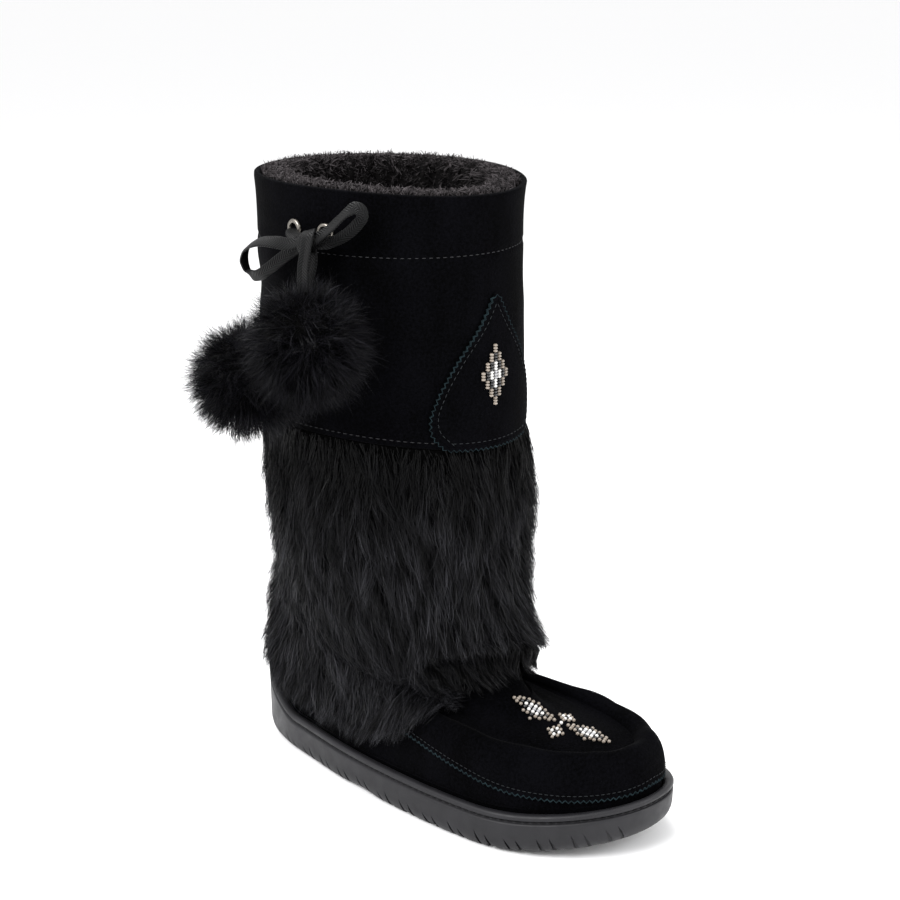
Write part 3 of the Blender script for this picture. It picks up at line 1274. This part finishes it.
def sleeve_hairs(count):
    """Hairs that fall from their roots and draw together in locks, none past the tips' edge."""
    angles, down = sleeve_roots(count, 0.005)
    n = len(angles)
    lock_angles, lock_down = sleeve_roots(FUR_LOCKS, 0.0)
    lock = nearest_lock(angles, down, lock_angles, lock_down)
    swing = chance.normal(0.0, 0.16, len(lock_angles))[lock]
    lift = chance.uniform(-0.2, 1.2, len(lock_angles))[lock]
    tone = chance.uniform(0.15, 1.25, len(lock_angles))[lock]
    pull = chance.uniform(0.35, 0.9, len(lock_angles))[lock]
    reach = FUR_LENGTH * chance.uniform(0.6, 1.08, n)
    end = round_column(SLEEVE_END, angles) + chance.normal(0.0, 0.0022, n)
    rim = round_column(SLEEVE_BAG, angles)
    front = front_share(angles) > 0.5
    over, under = front & (down < rim - 0.004), front & (down >= rim - 0.004)
    end = np.where(over, np.minimum(end, rim + chance.normal(0.0, 0.0048, n)), end)
    reach = np.where(under, reach * 0.62, reach)
    reach = np.maximum(np.minimum(reach, end - down), 0.004)
    wave = 0.12 * np.sin(angles * 3.0 + down * 31.0) + 0.09 * np.sin(angles * 7.0 - down * 47.0)
    wave = wave + 0.05 * np.sin(angles * 17.0 + down * 90.0)
    curl = chance.normal(0.0, 0.07, n)
    stray = chance.normal(0.0, 0.05, n)
    height = np.where(under, 0.0024, 0.0040 + 0.0050 * lift) * chance.uniform(0.6, 1.15, n)
    wild = chance.uniform(0.0, 1.0, n) < 0.035
    height = np.where(wild & ~under, height + 0.004, height)
    tints = tone * 1.25 * chance.uniform(0.05, 1.0, n) ** 2 * np.where(under, 0.30, 1.0)
    shade = 0.22 + 0.78 * smooth((down - 0.004) / 0.050)
    shade = shade * (0.82 + 0.18 * np.sin(angles * 2.3 + 9.0 * np.sin(down * 26.0) * 0.2))
    tints = np.where(chance.uniform(0.0, 1.0, n) < 0.05, 1.6 * tints + 0.2, tints) * shade
    height = height * (0.45 + 0.55 * smooth(down / 0.030))
    paths = np.zeros((n, FUR_POINTS, 3))
    for k in range(FUR_POINTS):
        t = k / (FUR_POINTS - 1.0)
        fall = down + reach * t * 0.97
        drawn = pull * t ** 1.3
        a = angles * (1.0 - drawn * 0.9) + lock_angles[lock] * drawn * 0.9
        a = a + ((wave + swing + stray) * t + curl * math.sin(t * 3.6)) * reach / SHAFT_RADIUS
        levels = fallen_level(a, fall)
        stand = hide_base(levels) + height * (1.0 - (1.0 - t) ** 1.8) + bag(a, fall)
        stand = stand + fullness(a, fall)
        stand = np.maximum(stand, 0.0008 * t)
        paths[:, k] = on_boot(a, levels, stand)
    return angles, paths, tints


fur_angles, fur_paths, fur_tints = sleeve_hairs(FUR_HAIRS)
fur_sides = unit(np.cross(fur_paths[:, -1] - fur_paths[:, 0],
                          chance.normal(0.0, 1.0, (len(fur_paths), 3))))
fur_widths = np.array([0.00031, 0.00028, 0.00017, 0.0])
FUR_PANELS = 4
panel_of = (np.mod(fur_angles, 2.0 * math.pi) / (2.0 * math.pi) * FUR_PANELS).astype(int)
for panel in range(FUR_PANELS):
    chosen = panel_of == panel
    fur_panel = hair_piece(f"fur_sleeve_{panel + 1}", fur_paths[chosen], fur_widths,
                           fur_sides[chosen], fur_tints[chosen], black_fur)
    set_down(fur_panel, "fur")

hide_angles = ring_angles(144)
hide_rings = []
for share, stand in ([(s, 0.0010) for s in np.linspace(1.0, 0.0, 40)]
                     + [(s, 0.0) for s in np.linspace(0.0, 1.0, 40)]):
    down = 0.001 + (round_column(SLEEVE_END, hide_angles) - 0.010) * share
    levels = fallen_level(hide_angles, down)
    hide_rings.append(on_boot(hide_angles, levels,
                              hide_base(levels) + stand + (0.8 * bag(hide_angles, down)
                                                           + fullness(hide_angles, down))
                              * (stand > 0)))
hide_faces = round_faces(len(hide_rings), len(hide_angles))
hide_dye, _, _ = new_material("fur_hide", (0.002, 0.002, 0.002), 1.0, Specular_IOR_Level=0.0)
hide = add_piece("fur_hide", np.concatenate(hide_rings), hide_faces, hide_dye)
set_down(hide, "fur", "fur_shaft")


# Pile lining
# Charcoal brown curly pile on the inside of the shaft, as thick as a finger at the collar
# and flush with it.

pile_wool = fur_finish("curly_pile", (0.008, 0.0072, 0.0076), (0.130, 0.116, 0.121), 0.9)
pile_ground, ground_tree, ground_shader = new_material("pile_ground", (0.0035, 0.0032, 0.0033), 1.0,
                                                       Specular_IOR_Level=0.05)
bump(ground_tree, ground_shader, noise(ground_tree, 420.0, 4.0), 0.0012)


def lumps(degrees, heights):
    """Uneven thickness of the pile in soft furrows, worked out from a few waves."""
    s = np.radians(degrees) * SHAFT_RADIUS
    bend = 1.3 * np.sin(heights * 150.0 + 2.0 * np.sin(s * 60.0))
    return (np.sin(s * 470.0 + bend) * (0.7 + 0.3 * np.sin(heights * 240.0 + s * 90.0))
            + 0.6 * np.sin(s * 905.0 + 1.7 * bend) * np.sin(heights * 520.0 - s * 170.0))


pile_angles = ring_angles(360)
pile_degrees = np.degrees(math.pi - pile_angles)
pile_rings = []
for below, thick in ((0.0052, 0.0002), (0.0030, 0.0014), (0.0014, 0.0034), (0.0005, 0.0060),
                     (0.0003, 0.0088), (0.0010, 0.0116), (0.0030, 0.0140), (0.0062, 0.0156),
                     (0.0102, 0.0164), (0.0155, 0.0164), (0.0220, 0.0160), (0.0300, 0.0154),
                     (0.0400, 0.0146), (0.0520, 0.0132), (0.0660, 0.0108), (0.0820, 0.0062),
                     (0.0900, 0.0002)):
    dip = COLLAR_DIP * np.clip(np.cos(np.radians(pile_degrees)), 0.0, 1.0) ** 2
    heights = SHAFT_TOP - dip - below
    levels = level_at_height(pile_angles, np.minimum(heights, SHAFT_TOP - dip - 0.0002))
    rough = 0.0013 * lumps(pile_degrees, heights) * min(1.0, thick / 0.008)
    ring = on_boot(pile_angles, levels, -WALL - thick + rough)
    ring[:, 2] += max(0.0, -below) + 0.4 * rough * (below < 0.004)
    pile_rings.append(ring)
pile_rings.reverse()
pile_body = add_piece("pile_ground", np.concatenate(pile_rings),
                      grid_faces(len(pile_rings), 360)[:, ::-1], pile_ground)
set_down(pile_body, "suede")

PILE_PROFILE = (
    # along the pile's face from the leather's edge, below the rim, thickness
    (0.00, 0.0032, 0.0012),
    (0.10, 0.0012, 0.0040),
    (0.22, 0.0004, 0.0078),
    (0.32, 0.0012, 0.0116),
    (0.42, 0.0040, 0.0143),
    (0.52, 0.0082, 0.0156),
    (0.75, 0.0240, 0.0152),
    (1.00, 0.0600, 0.0114),
)
PILE_HAIRS = 26000
pile_turn = chance.uniform(0.0, 360.0, PILE_HAIRS)
pile_share = chance.uniform(0.0, 1.0, PILE_HAIRS)
pile_stops = [row[0] for row in PILE_PROFILE]
pile_below = np.interp(pile_share, pile_stops, [row[1] for row in PILE_PROFILE])
pile_in = np.interp(pile_share, pile_stops, [row[2] for row in PILE_PROFILE])
pile_dip = COLLAR_DIP * np.clip(np.cos(np.radians(pile_turn)), 0.0, 1.0) ** 2
pile_heights = SHAFT_TOP - pile_dip - pile_below
pile_levels = level_at_height(shaft_angle(pile_turn),
                              np.minimum(pile_heights, SHAFT_TOP - pile_dip - 0.0002))
pile_lump = lumps(pile_turn, pile_heights)
pile_roots = on_boot(shaft_angle(pile_turn), pile_levels, -WALL - pile_in + 0.0013 * pile_lump)
pile_roots[:, 2] += np.maximum(0.0, -pile_below)
pile_inward = unit(on_boot(shaft_angle(pile_turn), pile_levels, -0.03) - pile_roots)
pile_lie = smooth((pile_share - 0.10) / 0.45)[:, None]
pile_way = unit(pile_inward * (0.15 + 0.65 * pile_lie)
                + np.array([0.0, 0.0, 1.0]) * (0.85 - 0.95 * pile_lie)
                + chance.normal(0.0, 0.38, (PILE_HAIRS, 3)))
pile_curl = chance.normal(0.0, 0.9, (PILE_HAIRS, 3))
pile_reach = chance.uniform(0.0020, 0.0044, PILE_HAIRS)[:, None]
pile_paths = np.stack([pile_roots + pile_way * pile_reach * t
                       + pile_curl * pile_reach * 0.6 * t * t for t in (0.0, 0.4, 0.75, 1.0)],
                      axis=1)
PILE_TUFTS = 4200
tufts = KDTree(PILE_TUFTS)
for number in range(PILE_TUFTS):
    tufts.insert(pile_roots[number], number)
tufts.balance()
pile_tuft = np.array([tufts.find(root)[1] for root in pile_roots])
pile_pull = chance.uniform(0.25, 0.65, PILE_TUFTS)[pile_tuft]
for k, t in enumerate((0.0, 0.4, 0.75, 1.0)):
    pull = (pile_pull * t)[:, None]
    pile_paths[:, k] = pile_paths[:, k] * (1.0 - pull) + pile_paths[pile_tuft, k] * pull
pile_cap = SHAFT_TOP - pile_dip + 0.0010 + 0.0030 * chance.uniform(0.0, 1.0, PILE_HAIRS) ** 4
pile_paths[:, :, 2] = np.minimum(pile_paths[:, :, 2], pile_cap[:, None])
pile_sides = unit(np.cross(pile_way, chance.normal(0.0, 1.0, (PILE_HAIRS, 3))))
pile_tint = (1.0 - 0.90 * smooth((pile_share - 0.30) / 0.34)) * (0.75 - 0.25 * pile_lump)
pile_tint = np.clip(pile_tint, 0.05, 1.0) * (0.6 + 0.4 * chance.uniform(0.0, 1.0, PILE_HAIRS))
pile_tint = pile_tint * chance.uniform(0.5, 1.15, PILE_TUFTS)[pile_tuft]
pile = hair_piece("curly_pile", pile_paths, np.array([0.00060, 0.00056, 0.00044, 0.0]),
                  pile_sides, pile_tint, pile_wool)
set_down(pile, "suede")


# Eyelets
# Two nickel eyelets of the drawstring channel, each a rolled ring with a barrel through the
# wall.

EYELET_RADIUS, EYELET_BORE, EYELET_BARREL, EYELET_HEIGHT = 0.0050, 0.0024, 0.0034, 0.3265
EYELET_ANGLES = {"eyelet_rear": 94.3, "eyelet_front": 78.5}
nickel, nickel_tree, nickel_shader = new_material("worn_nickel", (0.22, 0.204, 0.182), 0.34,
                                                  Metallic=1.0)
nickel_tree.links.new(ramp(nickel_tree, noise(nickel_tree, 700.0, 3.0), (0.35, 0.22), (0.7, 0.45)),
                      nickel_shader.inputs["Roughness"])


def shaft_frame(degrees, height, stand):
    """A place beside the shaft and the way out from it."""
    place = Vector(on_shaft([degrees], [height], stand)[0])
    further = Vector(on_shaft([degrees], [height], stand + 0.01)[0])
    return place, (further - place).normalized()


for name, degrees in EYELET_ANGLES.items():
    centre, out = shaft_frame(degrees, EYELET_HEIGHT, 0.0002)
    turn = out.to_track_quat("Z", "Y").to_matrix()
    profile = [(EYELET_BARREL, -WALL - 0.0006), (EYELET_BARREL, -0.0002), (EYELET_RADIUS, -0.0002)]
    middle, half = (EYELET_RADIUS + EYELET_BORE) / 2.0, (EYELET_RADIUS - EYELET_BORE) / 2.0
    profile += [(middle + half * math.cos(a), 0.0003 + 0.0013 * math.sin(a))
                for a in np.linspace(0.0, math.pi, 10)]
    profile += [(EYELET_BORE, -WALL - 0.0006)]
    points = [centre + turn @ Vector((r * math.cos(a), r * math.sin(a), z))
              for a in np.linspace(0.0, 2.0 * math.pi, 48, endpoint=False) for r, z in profile]
    rows, columns = 48, len(profile)
    faces = [(i * columns + j, ((i + 1) % rows) * columns + j,
              ((i + 1) % rows) * columns + (j + 1) % columns, i * columns + (j + 1) % columns)
             for i in range(rows) for j in range(columns)]
    ring = add_piece("nickel_" + name, points, faces, nickel, sharp=60.0)
    set_down(ring, "nickel", name)


# Drawstring
# A flat waxed braid, 7 mm wide, out of the eyelets and tied in a bow at their middle, with a
# pompom on each end. The routes are those of the part's own solids.

LACE_WIDTH, LACE_THICKNESS = 0.0070, 0.0014
KNOT_PLACE = (80.4, 0.3226, 0.0110)
POMPOM_RADIUS, BALL_SHARE = 0.0262, 0.88
POMPOMS = {"pompom_front": (73.9, 0.2762, 0.0300), "pompom_rear": (98.6, 0.2503, 0.0290)}


def braid_finish():
    """Herringbone weave along the braid: UV runs in metres along it and across it."""
    material, tree, shader = new_material("waxed_braid", (0.002, 0.0021, 0.0024), 0.52,
                                          Specular_IOR_Level=0.15)
    place = add_node(tree, "ShaderNodeTexCoord").outputs["UV"]
    parts = add_node(tree, "ShaderNodeSeparateXYZ", {"Vector": place})
    fold = add_node(tree, "ShaderNodeMath", {0: parts.outputs["Y"], 1: 0.0035},
                    operation="PINGPONG")
    lean = add_node(tree, "ShaderNodeMath", {0: fold.outputs[0], 1: 0.9}, operation="MULTIPLY")
    summed = add_node(tree, "ShaderNodeMath", {0: parts.outputs["X"], 1: lean.outputs[0]},
                      operation="ADD")
    waves = add_node(tree, "ShaderNodeMath", {0: summed.outputs[0], 1: 2.0 * math.pi / 0.0016},
                     operation="MULTIPLY")
    weave = add_node(tree, "ShaderNodeMath", {0: waves.outputs[0]}, operation="SINE")
    level = add_node(tree, "ShaderNodeMath", {0: weave.outputs[0], 1: 0.5, 2: 0.5},
                     operation="MULTIPLY_ADD")
    tree.links.new(ramp(tree, level.outputs[0], (0.2, (0.0003, 0.0003, 0.0004)),
                        (0.8, (0.0028, 0.0030, 0.0034))), shader.inputs["Base Color"])
    bump(tree, shader, level.outputs[0], 0.00025)
    return material


def smooth_path(spots, step):
    spots = np.array(spots, float)
    walked = np.concatenate([[0.0], np.cumsum(np.linalg.norm(np.diff(spots, axis=0), axis=1))])
    fine = np.linspace(0.0, walked[-1], max(8, int(walked[-1] / step)))
    return np.stack([table_curve(walked, spots[:, k], fine) for k in range(3)], axis=1)


def braid(name, spots, flats, material, width=LACE_WIDTH, thickness=LACE_THICKNESS):
    """A flat braid along a path, with its flat side facing the ways given."""
    path = smooth_path(spots, 0.0015)
    faced = smooth_path_like(flats, len(path))
    step = unit(np.gradient(path, axis=0))
    faced = unit(faced - step * np.sum(faced * step, axis=1)[:, None])
    side = np.cross(step, faced)
    section = [(math.copysign(abs(math.cos(a)) ** 0.35, math.cos(a)) * width / 2.0,
                math.copysign(abs(math.sin(a)) ** 0.8, math.sin(a)) * thickness / 2.0)
               for a in np.linspace(0.0, 2.0 * math.pi, 20, endpoint=False)]
    rings = [path + side * u + faced * v for u, v in section]
    points = np.stack(rings, axis=1).reshape(-1, 3)
    rows, columns = len(path), len(section)
    faces = grid_faces(rows, columns)[:, ::-1].tolist()
    faces.append(list(range(columns)))
    faces.append(list(range((rows - 1) * columns, rows * columns))[::-1])
    piece = add_piece(name, points, faces, material, sharp=0.0)
    walked = np.concatenate([[0.0], np.cumsum(np.linalg.norm(np.diff(path, axis=0), axis=1))])
    layer = piece.data.uv_layers.new(name="braid")
    across = [u for u, _ in section]
    for loop in piece.data.loops:
        row, column = divmod(loop.vertex_index, columns)
        layer.data[loop.index].uv = (walked[row], across[column] + width / 2.0)
    return piece, path


def smooth_path_like(values, count):
    values = np.array(values, float)
    at = np.linspace(0.0, len(values) - 1.0, count)
    low = np.minimum(at.astype(int), len(values) - 2)
    t = (at - low)[:, None]
    return values[low] * (1.0 - t) + values[low + 1] * t


# Routes: degrees round the shaft, height, distance off the suede, and the way that the flat
# side faces: outwards, upwards and forwards
BRAID_ROUTES = {
    "rear": (
        (94.3, 0.3258, -0.0020, 0.0, 1.0, 0.0), (94.3, 0.3257, 0.0010, 0.2, 1.0, 0.0),
        (92.0, 0.3250, 0.0050, 0.6, 0.8, 0.0), (88.0, 0.3240, 0.0085, 0.9, 0.5, 0.0),
        (84.5, 0.3232, 0.0110, 0.9, 0.4, 0.0), (86.6, 0.3212, 0.0125, 0.7, 0.7, 0.0),
        (93.8, 0.3209, 0.0145, 0.6, 0.8, 0.0), (100.2, 0.3200, 0.0155, 0.5, 0.8, -0.2),
        (105.8, 0.3172, 0.0160, 0.5, 0.7, -0.5), (111.2, 0.3124, 0.0158, 0.5, 0.4, -0.8),
        (113.9, 0.3056, 0.0150, 0.5, 0.0, -0.9), (112.0, 0.3001, 0.0140, 0.6, -0.5, -0.6),
        (106.2, 0.2999, 0.0130, 0.6, -0.8, -0.2), (99.2, 0.3056, 0.0120, 0.7, -0.7, 0.0),
        (93.4, 0.3115, 0.0112, 0.8, -0.6, 0.0), (88.0, 0.3170, 0.0108, 0.8, -0.5, 0.0),
        (83.4, 0.3212, 0.0108, 0.9, -0.3, 0.0)),
    "front": (
        (78.5, 0.3258, -0.0020, 0.0, 1.0, 0.0), (78.3, 0.3257, 0.0010, 0.2, 1.0, 0.0),
        (77.3, 0.3262, 0.0050, 0.6, 0.8, 0.0), (77.6, 0.3254, 0.0085, 0.8, 0.5, 0.0),
        (78.5, 0.3236, 0.0100, 0.9, 0.3, 0.0), (76.0, 0.3230, 0.0108, 0.8, -0.6, 0.1),
        (72.5, 0.3236, 0.0105, 0.8, -0.6, 0.2), (69.2, 0.3254, 0.0106, 0.8, -0.6, 0.2),
        (65.2, 0.3292, 0.0108, 0.8, -0.5, 0.4), (61.6, 0.3344, 0.0112, 0.8, -0.3, 0.6),
        (59.6, 0.3392, 0.0118, 0.7, 0.0, 0.7), (59.9, 0.3428, 0.0124, 0.6, 0.5, 0.6),
        (61.7, 0.3441, 0.0128, 0.6, 0.8, 0.0), (64.3, 0.3420, 0.0128, 0.6, 0.7, -0.4),
        (67.0, 0.3380, 0.0128, 0.7, 0.6, -0.4), (70.6, 0.3324, 0.0132, 0.7, 0.6, -0.4),
        (73.7, 0.3284, 0.0136, 0.8, 0.6, -0.3), (77.0, 0.3250, 0.0132, 0.9, 0.5, 0.0)),
    "end_front": (
        (79.6, 0.3290, 0.0118, 0.7, 0.8, 0.0), (78.4, 0.3276, 0.0160, 0.8, 0.6, 0.0),
        (78.2, 0.3230, 0.0182, 1.0, 0.2, 0.0), (78.5, 0.3175, 0.0190, 1.0, 0.0, 0.0),
        (78.8, 0.3110, 0.0200, 1.0, 0.0, 0.0), (77.9, 0.3010, 0.0225, 1.0, 0.0, 0.0),
        (75.6, 0.2880, 0.0265, 1.0, 0.0, 0.0), (73.9, 0.2762, 0.0300, 1.0, 0.0, 0.0)),
    "end_rear": (
        (80.0, 0.3215, 0.0105, 1.0, 0.0, 0.0), (79.8, 0.3130, 0.0100, 1.0, 0.0, 0.0),
        (81.5, 0.3030, 0.0105, 1.0, 0.0, 0.0), (87.5, 0.2880, 0.0130, 1.0, 0.0, 0.0),
        (95.2, 0.2700, 0.0220, 1.0, 0.0, 0.0), (98.6, 0.2503, 0.0290, 1.0, 0.0, 0.0)),
}
BRAID_NODES = {"rear": ("lace_leg_rear", "lace_loop_rear"),
               "front": ("lace_leg_front", "lace_loop_front"),
               "end_front": ("lace_end_front",), "end_rear": ("lace_end_rear",)}

waxed_braid = braid_finish()


def ahead_of(out):
    """The way along the shaft's face, towards the toe."""
    ahead = out.cross(Vector((0.0, 0.0, 1.0)))
    return ahead.normalized() if ahead.y > 0.0 else -ahead.normalized()


def route_of(name):
    spots, flats = [], []
    for degrees, height, stand, outward, upward, forward in BRAID_ROUTES[name]:
        place, out = shaft_frame(degrees, height, stand)
        spots.append(place)
        flats.append(out * outward + Vector((0.0, 0.0, 1.0)) * upward
                     + ahead_of(out) * forward)
    return spots, flats


lace_pieces, lace_paths = {}, {}
for name in BRAID_ROUTES:
    lace_pieces[name], lace_paths[name] = braid("braid_" + name, *route_of(name), waxed_braid)
    set_down(lace_pieces[name], "waxed_lace", *BRAID_NODES[name])

knot_place, knot_out = shaft_frame(*KNOT_PLACE)
knot_ahead, knot_up = ahead_of(knot_out), Vector((0.0, 0.0, 1.0))
wrap_spots, wrap_flats = [], []
for a in np.linspace(-0.62 * math.pi, 0.62 * math.pi, 9):
    wrap_spots.append(knot_place + knot_up * 0.0056 * math.sin(a) + knot_out * 0.0050 * math.cos(a)
                      + knot_ahead * 0.0012 * math.sin(a))
    wrap_flats.append(knot_up * math.sin(a) + knot_out * math.cos(a))
knot, _ = braid("braid_knot", wrap_spots, wrap_flats, waxed_braid, width=0.0078)
set_down(knot, "waxed_lace", "lace_knot")


# Pompoms
# Two balls of the same black fur on the lace's ends, soft and a little uneven.

POMPOM_HAIRS, POMPOM_LOCKS = 18000, 900
HAIR_ROOT, POMPOM_SAG, OUTER_LIMIT = 0.012, 0.0045, 0.1335
pompom_fur = fur_finish("pompom_fur", (0.0002, 0.0002, 0.0003), (0.0210, 0.0206, 0.0260), 0.36,
                        shine=0.07)
POMPOM_REACH = {"pompom_front": 0.0395, "pompom_rear": 0.0385}
for name, place in POMPOMS.items():
    centre = np.array(shaft_frame(*place)[0])
    ways = unit(chance.normal(0.0, 1.0, (POMPOM_HAIRS, 3)))
    locks = unit(chance.normal(0.0, 1.0, (POMPOM_LOCKS, 3)))
    nearest = np.argmax(ways @ locks.T, axis=1)
    lock_reach = chance.uniform(0.90, 1.02, POMPOM_LOCKS)[nearest]
    long_hair = np.where(chance.uniform(0.0, 1.0, POMPOM_HAIRS) < 0.12, 1.15, 1.0)
    reach = POMPOM_REACH[name] * lock_reach * chance.uniform(0.74, 1.0, POMPOM_HAIRS) * long_hair
    twist = unit(chance.normal(0.0, 1.0, (POMPOM_LOCKS, 3)))
    swirl = np.cross(locks, twist)[nearest]
    stray = chance.normal(0.0, 1.0, (POMPOM_HAIRS, 3))
    draw = chance.uniform(0.0, 0.35, POMPOM_LOCKS)[nearest][:, None]
    paths = np.zeros((POMPOM_HAIRS, 4, 3))
    for k, t in enumerate((0.0, 0.42, 0.75, 1.0)):
        way = unit(ways * (1.0 - draw * t) + locks[nearest] * draw * t + swirl * 0.30 * t * t
                   + stray * 0.10 * t * t)
        distance = HAIR_ROOT + (reach - HAIR_ROOT) * t
        paths[:, k] = centre + way * distance[:, None]
        paths[:, k, 2] -= POMPOM_SAG * t * t
    paths[:, :, 0] = np.minimum(paths[:, :, 0], OUTER_LIMIT)
    sides = unit(np.cross(ways, chance.normal(0.0, 1.0, (POMPOM_HAIRS, 3))))
    tints = chance.uniform(0.1, 1.0, POMPOM_LOCKS)[nearest]
    tints = tints * chance.uniform(0.1, 1.2, POMPOM_HAIRS) ** 2
    ball = hair_piece("fur_" + name, paths, np.array([0.00036, 0.00028, 0.00016, 0.0]), sides,
                      tints, pompom_fur)
    set_down(ball, "fur", name)
    core = bmesh.new()
    bmesh.ops.create_icosphere(core, subdivisions=4, radius=POMPOM_RADIUS * BALL_SHARE)
    for vert in core.verts:
        vert.co += Vector(centre)
    core_mesh = bpy.data.meshes.new("core_" + name)
    core.to_mesh(core_mesh)
    core.free()
    core_mesh.materials.append(hide_dye)
    core_piece = new_object("core_" + name, core_mesh)
    set_down(core_piece, "fur")


# Camera, floor and light
# The photo's own angle from the toe's outer side, a pale floor and soft studio light.

CAMERA_PLACE = (0.7372, 0.7389, 0.4962)
CAMERA_WAY = (-0.71926, -0.63130, -0.29004)
camera_data = bpy.data.cameras.new("camera")
camera_data.lens, camera_data.sensor_width = 73.74, 36.0
camera = new_object("camera", camera_data)
camera.location = CAMERA_PLACE
camera.rotation_euler = Vector(CAMERA_WAY).to_track_quat("-Z", "Y").to_euler()
bpy.context.scene.camera = camera

floor_paint, _, _ = new_material("pale_floor", (0.93, 0.93, 0.935), 0.9, Specular_IOR_Level=0.1)
FLOOR_HALF = 9.0
floor_corners = [(x * FLOOR_HALF, y * FLOOR_HALF, 0.0)
                 for x, y in ((-1.0, -1.0), (1.0, -1.0), (1.0, 1.0), (-1.0, 1.0))]
floor = add_piece("floor", floor_corners, [(0, 1, 2, 3)], floor_paint, sharp=0.0)

world = bpy.data.worlds.new("studio")
world.use_nodes = True
world.node_tree.nodes["Background"].inputs["Color"].default_value = (1.0, 1.0, 1.0, 1.0)
world.node_tree.nodes["Background"].inputs["Strength"].default_value = 1.04
bpy.context.scene.world = world


def softbox(name, place, aim, size, power):
    light = bpy.data.lights.new(name, "AREA")
    light.shape, light.size, light.energy = "DISK", size, power
    lamp = new_object(name, light)
    lamp.location = place
    lamp.rotation_euler = (Vector(aim) - Vector(place)).to_track_quat("-Z", "Y").to_euler()


softbox("key", (1.15, 0.05, 1.25), (0.0, 0.05, 0.18), 0.9, 26.0)
softbox("fill", (-0.35, 1.25, 0.75), (0.0, 0.08, 0.15), 0.9, 9.0)
softbox("top", (-0.25, -0.35, 1.30), (0.0, 0.05, 0.2), 0.8, 14.0)
bpy.context.scene.view_settings.view_transform = "Standard"
